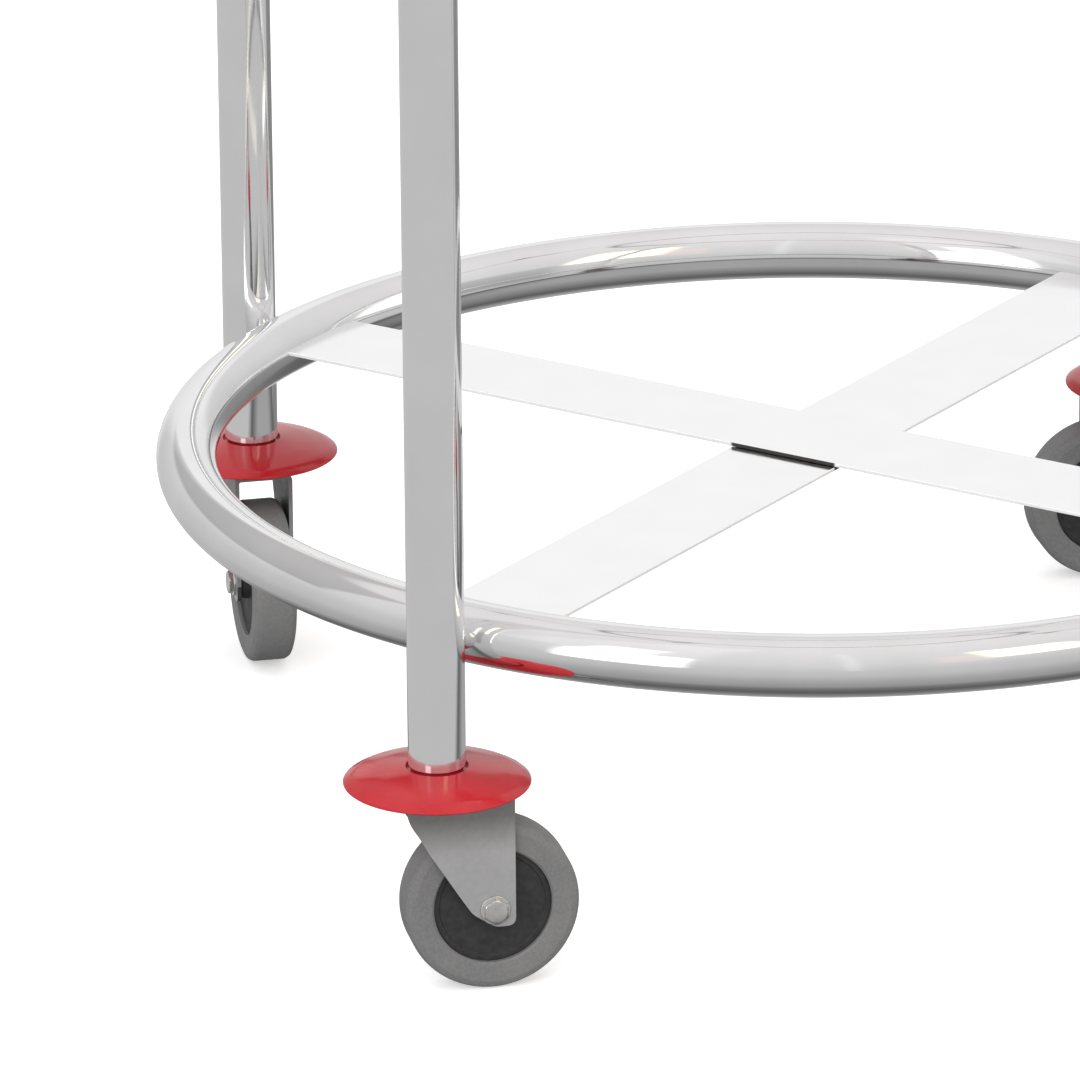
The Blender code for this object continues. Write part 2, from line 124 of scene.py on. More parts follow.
RING = span("base_ring")
RING_TUBE_R = RING.z / 2
RING_R = RING.x / 2 - RING_TUBE_R
RING_Z = middle("base_ring").z
HANG = span("hanging_ring")
HANG_TUBE_R = HANG.z / 2
HANG_R = HANG.x / 2 - HANG_TUBE_R
HANG_Z = middle("hanging_ring").z
LEG_R = span("upright_front").x / 2
LEG_LOW, LEG_HIGH = heights("upright_front")
INNER_R = span("inner_tube_front").x / 2
INNER_LOW = heights("inner_tube_front")[0]
COLLAR_LOW, COLLAR_HIGH = heights("collar_front")
COLLAR_R = span("collar_front").x / 2
CLAMP_Z = JOINTS["knob_front_turn"]["pos_m"][2]
BOSS_END = foot_place("front").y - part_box("collar_front")[0].y
KNOB_TIP = foot_place("front").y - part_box("clamp_knob_front")[1].y
KNOB_END = foot_place("front").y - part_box("clamp_knob_front")[0].y
KNOB_R = span("clamp_knob_front").x / 2
BUMPER_R = span("bumper_front").x / 2
BUMPER_LOW, BUMPER_HIGH = heights("bumper_front")
RACE_R = span("swivel_race_front").x / 2
RACE_LOW, RACE_HIGH = heights("swivel_race_front")
STEM_HEAD_R = span("caster_stem_front").x / 2
STEM_LOW, STEM_HIGH = heights("caster_stem_front")
STEM_R = 5.5 * MM
SOCKET_R = span("stem_socket_front").x / 2
SOCKET_LOW, SOCKET_HIGH = heights("stem_socket_front")
AXLE_Z = JOINTS["wheel_front_spin"]["pos_m"][2]
TRAIL = (Vector(JOINTS["wheel_front_spin"]["pos_m"]).xy - foot_place("front").xy).length
FORK_LOW, FORK_TOP = heights("fork_front")
BAR = span("cross_bar_upper")

# Across the axle: the fork's outer and inner half widths and its bend, its bolt's flange and
# hexagon, and the hub.
FORK_HALF = 17.5 * MM
FORK_INSIDE_HALF = 15.0 * MM
FORK_BEND_R = 3.5 * MM
FLANGE_R = 8.6 * MM
FLANGE_END = 18.8 * MM
HEX_FLAT_R = 6.5 * MM
HEX_CORNER_R = HEX_FLAT_R / math.cos(math.radians(30)) + 0.1 * MM
HUB_R = 33.3 * MM


# ---------------------------------------------------------------- mesh building

def fillet(points, radius, steps=5, closed=False):
    """Round the corners of an outline.  A third number on a point is its own radius.

    A point beside each sharp turn keeps the shading of long straight runs flat.
    """
    rounded = []
    count = len(points)
    for index, point in enumerate(points):
        corner = Vector(point[:2])
        size = point[2] if len(point) > 2 else radius
        is_end = not closed and index in (0, count - 1)
        if is_end or size <= 0:
            rounded.append(corner)
            continue
        before = Vector(points[index - 1][:2]) - corner
        after = Vector(points[(index + 1) % count][:2]) - corner
        turn = before.angle(after)
        most = ROUNDING_SHARE * min(before.length, after.length)
        reach = min(size / math.tan(turn / 2), most)
        start = corner + before.normalized() * reach
        end = corner + after.normalized() * reach
        keep = 2 * reach if turn < SHARP_TURN else 0.0
        if 0 < keep < before.length * GUARD_SHARE:
            rounded.append(corner + before.normalized() * keep)
        for step in range(steps + 1):
            share = step / steps
            first = start.lerp(corner, share)
            second = corner.lerp(end, share)
            rounded.append(first.lerp(second, share))
        if 0 < keep < after.length * GUARD_SHARE:
            rounded.append(corner + after.normalized() * keep)
    return [(point.x, point.y) for point in rounded]


def arc(centre, radius, start_deg, end_deg, steps):
    """Points on an arc, both ends included."""
    points = []
    for step in range(steps + 1):
        angle = math.radians(start_deg + (end_deg - start_deg) * step / steps)
        points.append((centre[0] + radius * math.cos(angle), centre[1] + radius * math.sin(angle)))
    return points


def finish_mesh(bm, name):
    """Turn a bmesh into a smooth mesh with its faces out."""
    bmesh.ops.recalc_face_normals(bm, faces=bm.faces)
    mesh = bpy.data.meshes.new(name)
    bm.to_mesh(mesh)
    bm.free()
    mesh.shade_smooth()
    mesh.set_sharp_from_angle(angle=SMOOTH_BELOW)
    return mesh


def turned(name, profile, sides, bored, reshape=None):
    """Spin a profile of (radius, height) about Z.  A bored profile is a closed loop."""
    bm = bmesh.new()
    verts = [bm.verts.new((radius, 0.0, height)) for radius, height in profile]
    edges = [bm.edges.new(pair) for pair in zip(verts, verts[1:])]
    if bored:
        edges.append(bm.edges.new((verts[-1], verts[0])))
    bmesh.ops.spin(
        bm, geom=verts + edges, cent=(0, 0, 0), axis=(0, 0, 1),
        angle=math.tau, steps=sides, use_merge=True,
    )
    bmesh.ops.remove_doubles(bm, verts=bm.verts, dist=1e-6)
    if reshape:
        for vert in bm.verts:
            reshape(vert)
    return finish_mesh(bm, name)


def torus(name, ring_r, tube_r, ring_steps, tube_sides):
    """A closed ring of round tube about Z."""
    bm = bmesh.new()
    verts = []
    for x, z in arc((ring_r, 0.0), tube_r, 0.0, 360.0, tube_sides)[:-1]:
        verts.append(bm.verts.new((x, 0.0, z)))
    edges = [bm.edges.new((verts[i - 1], verts[i])) for i in range(tube_sides)]
    bmesh.ops.spin(
        bm, geom=verts + edges, cent=(0, 0, 0), axis=(0, 0, 1),
        angle=math.tau, steps=ring_steps, use_merge=True,
    )
    return finish_mesh(bm, name)


def tube(name, outer_r, wall, low, high, lip=0.4 * MM, sides=64):
    """A round tube with broken edges at both ends."""
    bore_r = outer_r - wall
    corners = [(bore_r, low), (outer_r, low), (outer_r, high), (bore_r, high)]
    return turned(name, fillet(corners, lip, 3, closed=True), sides, bored=True)


def prism(name, outline, low, high):
    """Extrude an outline from z low to z high."""
    bm = bmesh.new()
    base = bm.faces.new([bm.verts.new((x, y, low)) for x, y in outline])
    lifted = bmesh.ops.extrude_face_region(bm, geom=[base])["geom"]
    top_verts = [item for item in lifted if isinstance(item, bmesh.types.BMVert)]
    bmesh.ops.translate(bm, vec=(0, 0, high - low), verts=top_verts)
    bmesh.ops.recalc_face_normals(bm, faces=bm.faces)
    mesh = bpy.data.meshes.new(name)
    bm.to_mesh(mesh)
    bm.free()
    return mesh


def modified(name, mesh, add_modifiers, guides=()):
    """A mesh with modifiers applied.  The guide objects that they use are removed."""
    body = bpy.data.objects.new(name, mesh)
    bpy.context.scene.collection.objects.link(body)
    add_modifiers(body)
    bpy.context.view_layer.update()
    evaluated = body.evaluated_get(bpy.context.evaluated_depsgraph_get())
    result = bpy.data.meshes.new_from_object(evaluated)
    result.name = name
    for item in [body, *guides]:
        bpy.data.objects.remove(item, do_unlink=True)
    return result


def add_bevel(body, width, segments=3, angle=40.0):
    """Round the edges sharper than an angle, and keep the shading of the flats even."""
    body.data.shade_smooth()
    bevel = body.modifiers.new("bevel", "BEVEL")
    bevel.width = width
    bevel.segments = segments
    bevel.limit_method = "ANGLE"
    bevel.angle_limit = math.radians(angle)
    bevel.miter_outer = "MITER_ARC"
    weighted = body.modifiers.new("weighted", "WEIGHTED_NORMAL")
    weighted.keep_sharp = True


def second_finish(mesh, first, second, chosen):
    """Give the chosen faces of a mesh a second material."""
    mesh.materials.clear()
    mesh.materials.append(first)
    mesh.materials.append(second)
    for face in mesh.polygons:
        face.material_index = int(chosen(face))
    return mesh


def place(name, mesh, material, body, matrix=Matrix.Identity(4), nodes=(), slot="chrome"):
    """One visible piece, riding on a body and standing for CAD nodes."""
    if not mesh.materials:
        mesh.materials.append(material)
    piece = bpy.data.objects.new(name, mesh)
    bpy.context.scene.collection.objects.link(piece)
    piece.matrix_world = matrix
    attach(piece, body)
    if nodes:
        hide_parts(*nodes)
    return piece


# ---------------------------------------------------------------- materials

class Surface:
    """A Principled material and short helpers for its nodes."""

    def __init__(self, name, **values):
        self.material = bpy.data.materials.new(name)
        self.material.use_nodes = True
        self.tree = self.material.node_tree
        self.shader = self.tree.nodes["Principled BSDF"]
        for socket, value in values.items():
            self.shader.inputs[socket.replace("_", " ")].default_value = value
        coordinates = self.tree.nodes.new("ShaderNodeTexCoord")
        self.place = coordinates.outputs["Object"]

    def reach(self):
        """Distance from the piece's origin."""
        length = self.tree.nodes.new("ShaderNodeVectorMath")
        length.operation = "LENGTH"
        self.tree.links.new(self.place, length.inputs[0])
        return length.outputs["Value"]

    def mapped(self, scale):
        """Object coordinates stretched by a scale."""
        mapping = self.tree.nodes.new("ShaderNodeMapping")
        mapping.inputs["Scale"].default_value = scale
        self.tree.links.new(self.place, mapping.inputs["Vector"])
        return mapping.outputs["Vector"]

    def noise(self, scale, detail=4.0, stretch=None):
        """Noise in object space."""
        texture = self.tree.nodes.new("ShaderNodeTexNoise")
        texture.inputs["Scale"].default_value = scale
        texture.inputs["Detail"].default_value = detail
        where = self.mapped(stretch) if stretch else self.place
        self.tree.links.new(where, texture.inputs["Vector"])
        return texture.outputs["Fac"]

    def cells(self, scale):
        """Random grey per cell."""
        texture = self.tree.nodes.new("ShaderNodeTexVoronoi")
        texture.inputs["Scale"].default_value = scale
        self.tree.links.new(self.place, texture.inputs["Vector"])
        grey = self.tree.nodes.new("ShaderNodeRGBToBW")
        self.tree.links.new(texture.outputs["Color"], grey.inputs["Color"])
        return grey.outputs["Val"]

    def ramp(self, factor, low, high, start=0.35, end=0.65):
        """Blend two colours over a range of a factor."""
        ramp = self.tree.nodes.new("ShaderNodeValToRGB")
        ramp.color_ramp.elements[0].position = start
        ramp.color_ramp.elements[0].color = (*low, 1.0)
        ramp.color_ramp.elements[1].position = end
        ramp.color_ramp.elements[1].color = (*high, 1.0)
        self.tree.links.new(factor, ramp.inputs["Fac"])
        return ramp.outputs["Color"]

    def spread(self, factor, low, high, start=0.3, end=0.7):
        """Map a factor to a range of values."""
        spread = self.tree.nodes.new("ShaderNodeMapRange")
        spread.inputs["From Min"].default_value = start
        spread.inputs["From Max"].default_value = end
        spread.inputs["To Min"].default_value = low
        spread.inputs["To Max"].default_value = high
        self.tree.links.new(factor, spread.inputs["Value"])
        return spread.outputs["Result"]

    def mix(self, factor, first, second, kind="MIX"):
        """Mix two colour sockets."""
        mix = self.tree.nodes.new("ShaderNodeMix")
        mix.data_type = "RGBA"
        mix.blend_type = kind
        if isinstance(factor, float):
            mix.inputs[0].default_value = factor
        else:
            self.tree.links.new(factor, mix.inputs[0])
        self.tree.links.new(first, mix.inputs[6])
        self.tree.links.new(second, mix.inputs[7])
        return mix.outputs[2]

    def colour(self, socket):
        """Link the base colour."""
        self.tree.links.new(socket, self.shader.inputs["Base Color"])

    def roughness(self, socket):
        """Link the roughness."""
        self.tree.links.new(socket, self.shader.inputs["Roughness"])

    def bump(self, height, distance, strength=1.0):
        """Link a bump."""
        bump = self.tree.nodes.new("ShaderNodeBump")
        bump.inputs["Strength"].default_value = strength
        bump.inputs["Distance"].default_value = distance
        self.tree.links.new(height, bump.inputs["Height"])
        self.tree.links.new(bump.outputs["Normal"], self.shader.inputs["Normal"])


def chrome(name, low, high, smooth, rough, stretch=None):
    """Chrome plate: faint cloudiness, wiped smears and a slight ripple of the tube."""
    surface = Surface(name, Metallic=1.0)
    surface.colour(surface.ramp(surface.noise(24.0, 6.0), (low,) * 3, (high,) * 3, 0.3, 0.7))
    surface.roughness(surface.spread(surface.noise(40.0, 8.0, stretch), smooth, rough))
    surface.bump(surface.noise(130.0, 3.0), 0.01 * MM, 0.4)
    return surface.material


def red_plastic():
    """Glossy moulded red: a faint mottle, fine scuffs and a little orange peel."""
    surface = Surface("red_plastic", IOR=1.42)
    mottle = surface.ramp(surface.noise(35.0, 5.0), (0.50, 0.018, 0.026), (0.56, 0.024, 0.033))
    scuffs = surface.ramp(surface.noise(90.0, 10.0, (1.0, 1.0, 6.0)), (0, 0, 0), (1, 1, 1), 0.66, 0.80)
    pale = surface.ramp(surface.noise(400.0, 2.0), (0.66, 0.09, 0.09), (0.70, 0.14, 0.13))
    surface.colour(surface.mix(surface.spread(scuffs, 0.0, 0.35, 0.0, 1.0), mottle, pale))
    surface.roughness(surface.spread(surface.noise(55.0, 8.0), 0.08, 0.20))
    surface.bump(surface.noise(260.0, 2.0), 0.02 * MM, 0.4)
    return surface.material


def zinc():
    """The fork's zinc plate: fine crystals, rolling haze, and painted shade darkening it towards the
    crown, under the bumper.
    """
    surface = Surface("zinc", Metallic=0.55)
    crystals = surface.ramp(surface.cells(420.0), (0.51, 0.51, 0.515), (0.54, 0.54, 0.545), 0.2, 0.8)
    haze = surface.ramp(surface.noise(22.0, 3.0), (0.92, 0.92, 0.92), (1.0, 1.0, 1.0), 0.3, 0.7)
    plate = surface.mix(1.0, crystals, haze, "MULTIPLY")
    axes = surface.tree.nodes.new("ShaderNodeSeparateXYZ")
    surface.tree.links.new(surface.place, axes.inputs["Vector"])
    # Painted shade: the plate darkens to half its tone towards the crown, where the bumper shades it.
    crown = FORK_TOP - AXLE_Z
    share = surface.spread(axes.outputs["Y"], 0.0, 1.0, crown - 35 * MM, crown - 14 * MM)
    painted_shade = surface.ramp(share, (1.0, 1.0, 1.0), (0.50, 0.49, 0.48), 0.0, 1.0)
    surface.colour(surface.mix(1.0, plate, painted_shade, "MULTIPLY"))
    surface.roughness(surface.spread(surface.noise(70.0, 6.0), 0.38, 0.52))
    surface.bump(surface.noise(900.0, 3.0), 0.03 * MM, 0.6)
    return surface.material


def bright_steel():
    """Plated bolts, nuts, races and stems, with fine tool lines."""
    surface = Surface("bright_steel", Metallic=1.0)
    surface.colour(surface.ramp(surface.noise(120.0, 6.0), (0.60, 0.59, 0.57), (0.74, 0.73, 0.71)))
    surface.roughness(surface.spread(surface.noise(200.0, 4.0, (1.0, 1.0, 8.0)), 0.14, 0.26))
    surface.bump(surface.noise(700.0, 2.0, (1.0, 1.0, 6.0)), 0.02 * MM, 0.6)
    return surface.material


def cut_edge(name, level, metallic, painted_shade_r=0.0):
    """Sheared edge of a plate with fine drag marks, and painted shade, near black, within the given
    reach of the piece's origin.
    """
    surface = Surface(name, Metallic=metallic, IOR=1.45)
    low, high = (level * 0.94,) * 3, (level,) * 3
    sheared = surface.ramp(surface.noise(500.0, 4.0, (1.0, 1.0, 0.2)), low, high, 0.3, 0.7)
    # Painted shade: near black close to the piece's origin, where another part covers the edge.
    if painted_shade_r:
        painted_shade = surface.ramp(surface.noise(300.0, 3.0), (0.030, 0.028, 0.027), (0.045, 0.042, 0.040))
        share = surface.spread(surface.reach(), 1.0, 0.0, painted_shade_r - 0.5 * MM, painted_shade_r + 0.5 * MM)
        sheared = surface.mix(share, sheared, painted_shade)
    surface.colour(sheared)
    surface.roughness(surface.spread(surface.noise(300.0, 3.0), 0.40, 0.55))
    surface.bump(surface.noise(900.0, 2.0), 0.01 * MM, 0.4)
    return surface.material


def tyre_rubber():
    """Mid grey rubber: fine grain, and paler dust on patches of the tread."""
    surface = Surface("tyre_rubber", IOR=1.45)
    grain = surface.ramp(surface.noise(650.0, 4.0), (0.195, 0.195, 0.197), (0.235, 0.235, 0.238))
    dust = surface.ramp(surface.noise(45.0, 6.0), (0.25, 0.248, 0.245), (0.285, 0.28, 0.275))
    share = surface.spread(surface.noise(28.0, 5.0), 0.0, 0.45, 0.48, 0.72)
    surface.colour(surface.mix(share, grain, dust))
    surface.roughness(surface.spread(surface.noise(80.0, 4.0), 0.52, 0.70))
    surface.bump(surface.noise(1100.0, 3.0), 0.05 * MM, 0.5)
    return surface.material


def hub_plastic():
    """Dark grey moulded plastic with a fine spark-eroded grain."""
    surface = Surface("hub_plastic", IOR=1.46)
    surface.colour(surface.ramp(surface.noise(260.0, 6.0), (0.028, 0.028, 0.029), (0.042, 0.042, 0.043)))
    surface.roughness(surface.spread(surface.noise(90.0, 4.0), 0.45, 0.62))
    surface.bump(surface.noise(1300.0, 2.0), 0.05 * MM, 0.6)
    return surface.material


def black_plastic():
    """Black moulded knobs and sockets with a fine grain."""
    surface = Surface("black_plastic", IOR=1.46)
    surface.colour(surface.ramp(surface.noise(200.0, 5.0), (0.014, 0.014, 0.015), (0.028, 0.028, 0.029)))
    surface.roughness(surface.spread(surface.noise(60.0, 5.0), 0.34, 0.50))
    surface.bump(surface.noise(1500.0, 2.0), 0.04 * MM, 0.6)
    return surface.material


CHROME = chrome("chrome_tube", 0.83, 0.88, 0.04, 0.09)
CHROME_LEG = chrome("chrome_upright", 0.83, 0.87, 0.05, 0.10, (1.0, 1.0, 0.15))
CHROME_BAR = chrome("chrome_bar", 0.955, 0.975, 0.12, 0.20)
RED = red_plastic()
ZINC = zinc()
STEEL = bright_steel()
RUBBER = tyre_rubber()
HUB = hub_plastic()
BLACK = black_plastic()

# The bars' side faces are painted near white, a painted reflection of the pale floor. The upper bar's
# edge has painted shade, near black, where it crosses the lower bar.
# The fork's cut edges, its inside and the underside of its crown are painted shade, nearly black.
BAR_EDGE_PAINTED = cut_edge("bar_edge_painted_light", 0.97, 0.0, BAR.y / math.sqrt(2))
FORK_PAINTED_SHADE = cut_edge("fork_painted_shade", 0.12, 0.5)


# ---------------------------------------------------------------- frame pieces

def bar_mesh(name, thickness):
    """Flat bar along X with softened edges, let into the ring at both ends."""
    let_in = 1.2 * MM
    end_r = RING_R - RING_TUBE_R + let_in
    half_angle = math.degrees(math.asin(BAR.y / 2 / end_r))
    outline = arc((0, 0), end_r, -half_angle, half_angle, 8)
    outline += arc((0, 0), end_r, 180 - half_angle, 180 + half_angle, 8)
    blank = prism(name, outline, -thickness / 2, thickness / 2)
    mesh = modified(name, blank, lambda body: add_bevel(body, 0.5 * MM, 4))
    # The side faces get the near-white painted reflection, with painted shade where the bars cross.
    return second_finish(mesh, CHROME_BAR, BAR_EDGE_PAINTED, lambda face: abs(face.normal.z) < 0.9)


def make_base():
    """Base ring and the two crossing bars."""
    ring = torus("base_ring_tube", RING_R, RING_TUBE_R, 288, 48)
    place("base_ring_tube", ring, CHROME, "frame", Matrix.Translation((0, 0, RING_Z)), ["base_ring"])
    bar = bar_mesh("cross_bar", BAR.z)
    upper = Matrix.Translation((0, 0, middle("cross_bar_upper").z))
    lower = Matrix.Translation((0, 0, middle("cross_bar_lower").z))
    quarter = Matrix.Rotation(math.pi / 2, 4, "Z")
    place("flat_bar_upper", bar, CHROME_BAR, "frame", upper, ["cross_bar_upper"])
    place("flat_bar_lower", bar, CHROME_BAR, "frame", lower @ quarter, ["cross_bar_lower"])


def collar_sleeve_mesh():
    """Collar: a sleeve with rolled edges and a groove, stepping in to the inner tube."""
    socket_r = LEG_R + 0.2 * MM
    guide_r = INNER_R + 0.25 * MM
    groove_z = COLLAR_LOW + 7 * MM
    corners = [
        (socket_r, COLLAR_LOW, 0.5 * MM),
        (COLLAR_R, COLLAR_LOW, 1.2 * MM),
        (COLLAR_R, groove_z - 1 * MM, 0.3 * MM),
        (COLLAR_R - 0.7 * MM, groove_z - 0.4 * MM, 0.3 * MM),
        (COLLAR_R - 0.7 * MM, groove_z + 0.4 * MM, 0.3 * MM),
        (COLLAR_R, groove_z + 1 * MM, 0.3 * MM),
        (COLLAR_R, COLLAR_HIGH - 0.5 * MM, 1.8 * MM),
        (guide_r + 1.5 * MM, COLLAR_HIGH, 0.8 * MM),
        (guide_r, COLLAR_HIGH - 0.4 * MM, 0.3 * MM),
        (guide_r, LEG_HIGH + 0.3 * MM, 0.3 * MM),
        (socket_r, LEG_HIGH + 0.3 * MM, 0.3 * MM),
    ]
    return turned("collar_sleeve", fillet(corners, 0.3 * MM, 4, closed=True), 72, bored=True)


def collar_boss_mesh():
    """Threaded boss along Z, standing out of the collar."""
    bore_r = 3.3 * MM
    boss_r = 8 * MM
    start = COLLAR_R - 3 * MM
    corners = [
        (bore_r, start),
        (boss_r, start),
        (boss_r, BOSS_END, 0.8 * MM),
        (bore_r, BOSS_END, 0.4 * MM),
    ]
    return turned("collar_boss", fillet(corners, 0.1 * MM, 4, closed=True), 48, bored=True)


def knob_mesh():
    """Five-lobed clamp knob on its screw, along Z."""
    lobes = 5
    deep = 0.09
    widest = KNOB_R / (1 + deep)
    screw_r = 3 * MM
    start = BOSS_END + 1 * MM

    def lobe(vert):
        if vert.co.z < start + 0.4 * MM:
            return
        radius = math.hypot(vert.co.x, vert.co.y)
        strength = deep * min(1.0, max(0.0, radius / widest - 0.45) / 0.45)
        stretch = 1 + strength * math.cos(lobes * math.atan2(vert.co.y, vert.co.x))
        vert.co.x *= stretch
        vert.co.y *= stretch

    corners = [
        (0.0, KNOB_TIP),
        (screw_r - 0.8 * MM, KNOB_TIP, 0.2 * MM),
        (screw_r, KNOB_TIP + 1.2 * MM, 0.3 * MM),
        (screw_r, start, 0.1 * MM),
        (8 * MM, start, 0.6 * MM),
        (8.6 * MM, start + 2.5 * MM, 1.2 * MM),
        (widest, start + 4.2 * MM, 1.8 * MM),
        (widest, KNOB_END - 2.4 * MM, 2.2 * MM),
        (widest * 0.72, KNOB_END - 0.3 * MM, 1.6 * MM),
        (5.4 * MM, KNOB_END - 0.3 * MM, 0.3 * MM),
        (4.8 * MM, KNOB_END - 1.0 * MM, 0.3 * MM),
        (3.6 * MM, KNOB_END - 1.0 * MM, 0.3 * MM),
        (3.0 * MM, KNOB_END - 0.2 * MM, 0.3 * MM),
        (0.0, KNOB_END),
    ]
    return turned("clamp_knob_head", fillet(corners, 0.4 * MM, 5), 100, bored=False, reshape=lobe)


def make_uprights():
    """Uprights, their collars and clamp knobs."""
    upright = tube("upright_tube", LEG_R, 1.5 * MM, LEG_LOW, LEG_HIGH)
    sleeve = collar_sleeve_mesh()
    boss = collar_boss_mesh()
    knob = knob_mesh()
    for name in LEG_NAMES:
        foot = upright_frame(name)
        clamp = foot @ Matrix.Translation((0, 0, CLAMP_Z)) @ Matrix.Rotation(math.pi / 2, 4, "Y")
        place(f"upright_tube_{name}", upright, CHROME_LEG, "frame", foot, [f"upright_{name}"])
        place(f"collar_sleeve_{name}", sleeve, CHROME, "frame", foot, [f"collar_{name}"])
        place(f"collar_boss_{name}", boss, CHROME, "frame", clamp)
        node = f"clamp_knob_{name}"
        place(f"knob_head_{name}", knob, BLACK, f"knob_{name}", clamp, [node], "black_plastic")


def weld_bead_mesh():
    """A bead where an inner tube meets the hanging ring, about the tube's axis."""
    bead_r = 1.3 * MM
    ripples = 24
    reach = INNER_R + 0.2 * MM
    steps = 96
    sides = 10
    up = Vector((0, 0, 1))
    bm = bmesh.new()
    rings = []
    for step in range(steps):
        around = math.tau * step / steps
        across = reach * math.cos(around)
        centre = Vector((across, reach * math.sin(around), -math.sqrt(HANG_TUBE_R ** 2 - across ** 2)))
        out = Vector((math.cos(around), math.sin(around), 0))
        ripple = bead_r * (1 + 0.10 * math.sin(ripples * around))
        ring = []
        for side in range(sides):
            angle = math.tau * side / sides
            ring.append(bm.verts.new(centre + (out * math.cos(angle) + up * math.sin(angle)) * ripple))
        rings.append(ring)
    for step in range(steps):
        here, after = rings[step - 1], rings[step]
        for side in range(sides):
            bm.faces.new((here[side - 1], here[side], after[side], after[side - 1]))
    return finish_mesh(bm, "weld_bead")


def make_upper_frame():
    """Hanging ring, the inner tubes under it and the weld beads between them."""
    ring = torus("hanging_ring_tube", HANG_R, HANG_TUBE_R, 320, 44)
    lift = Matrix.Translation((0, 0, HANG_Z))
    place("hanging_ring_tube", ring, CHROME, "upper_frame", lift, ["hanging_ring"])
    let_in = 6 * MM
    tube_top = HANG_Z - HANG_TUBE_R + let_in
    inner = tube("inner_tube_fine", INNER_R, 1.2 * MM, INNER_LOW, tube_top)
    bead = weld_bead_mesh()
    for name in LEG_NAMES:
        foot = upright_frame(name)
        place(f"sliding_tube_{name}", inner, CHROME_LEG, "upper_frame", foot, [f"inner_tube_{name}"])
        place(f"weld_bead_{name}", bead, CHROME, "upper_frame", foot @ lift)


# ---------------------------------------------------------------- caster pieces

def bumper_mesh():
    """Bumper: a low dome with a thin rim, hollowed over the race and grooved round the upright."""
    hole_r = STEM_R + 0.3 * MM
    recess_r = RACE_R + 2.5 * MM
    roof = RACE_HIGH + 0.3 * MM
    rim_z = BUMPER_LOW + 2.5 * MM
    groove_z = BUMPER_HIGH - 2.6 * MM
    corners = [
        (hole_r, roof),
        (recess_r, roof, 0.8 * MM),
        (recess_r, BUMPER_LOW, 0.4 * MM),
        (BUMPER_R - 5.5 * MM, BUMPER_LOW, 0.6 * MM),
        (BUMPER_R - 0.6 * MM, rim_z - 0.7 * MM, 0.5 * MM),
        (BUMPER_R, rim_z - 0.2 * MM, 0.4 * MM),
        (BUMPER_R, rim_z + 0.2 * MM, 0.4 * MM),
        (BUMPER_R - 0.8 * MM, rim_z + 0.9 * MM, 0.6 * MM),
        (BUMPER_R - 5.5 * MM, rim_z + 3.5 * MM, 30 * MM),
        (BUMPER_R - 17 * MM, rim_z + 6.3 * MM, 90 * MM),
        (LEG_R + 1.3 * MM, BUMPER_HIGH - 0.3 * MM, 0.6 * MM),
        (LEG_R + 1.0 * MM, groove_z, 0.4 * MM),
        (LEG_R - 1.6 * MM, groove_z, 0.4 * MM),
        (LEG_R - 1.8 * MM, BUMPER_HIGH, 0.3 * MM),
        (hole_r, BUMPER_HIGH),
    ]
    return turned("bumper_disc", fillet(corners, 0.3 * MM, 6, closed=True), 144, bored=True)


def race_mesh():
    """Pressed swivel race with a rolled lip and a ball groove."""
    bore_r = STEM_R + 0.3 * MM
    corners = [
        (bore_r, RACE_LOW),
        (RACE_R - 3 * MM, RACE_LOW, 0.5 * MM),
        (RACE_R, RACE_LOW + 1.2 * MM, 0.8 * MM),
        (RACE_R - 0.2 * MM, RACE_HIGH - 1.2 * MM, 0.5 * MM),
        (RACE_R - 1.6 * MM, RACE_HIGH, 0.8 * MM),
        (bore_r, RACE_HIGH),
    ]
    return turned("race_ring", fillet(corners, 0.2 * MM, 4, closed=True), 72, bored=True)


def stem_mesh():
    """Stem with its domed rivet head under the fork."""
    head_top = FORK_TOP - 2.8 * MM
    corners = [
        (0.0, STEM_LOW),
        (STEM_HEAD_R * 0.55, STEM_LOW, 1.5 * MM),
        (STEM_HEAD_R, STEM_LOW + 1.6 * MM, 1.0 * MM),
        (STEM_HEAD_R, head_top, 0.2 * MM),
        (STEM_R, head_top, 0.1 * MM),
        (STEM_R, STEM_HIGH - 2 * MM, 0.4 * MM),
        (STEM_R - 1.5 * MM, STEM_HIGH, 0.4 * MM),
        (0.0, STEM_HIGH),
    ]
    return turned("stem_pin", fillet(corners, 0.3 * MM, 4), 48, bored=False)


def socket_mesh():
    """Plastic socket in the foot of the upright."""
    wall = SOCKET_R - STEM_R - 0.3 * MM
    return tube("socket_insert", SOCKET_R, wall, SOCKET_LOW, SOCKET_HIGH, 0.5 * MM, 48)


def fork_side_outline():
    """The fork's side about the axle, along the trail and up."""
    top = FORK_TOP - AXLE_Z
    toe = FORK_LOW - AXLE_Z
    rear = 11.6 * MM
    corners = [
        (-50.0 * MM, top, 0.5 * MM),
        (rear, top, 0.8 * MM),
        (rear, toe, 5.8 * MM),
        (1.0 * MM, toe, 10 * MM),
        (-2.0 * MM, toe + 1.1 * MM, 20 * MM),
        (-12.8 * MM, toe + 8.5 * MM, 15 * MM),
        (-19.5 * MM, 8.7 * MM, 40 * MM),
        (-36.7 * MM, 36.0 * MM, 60 * MM),
        (-42.0 * MM, 45.7 * MM, 60 * MM),
        (-47.8 * MM, 54.6 * MM, 30 * MM),
    ]
    return fillet(corners, 0.5 * MM, 8, closed=True)


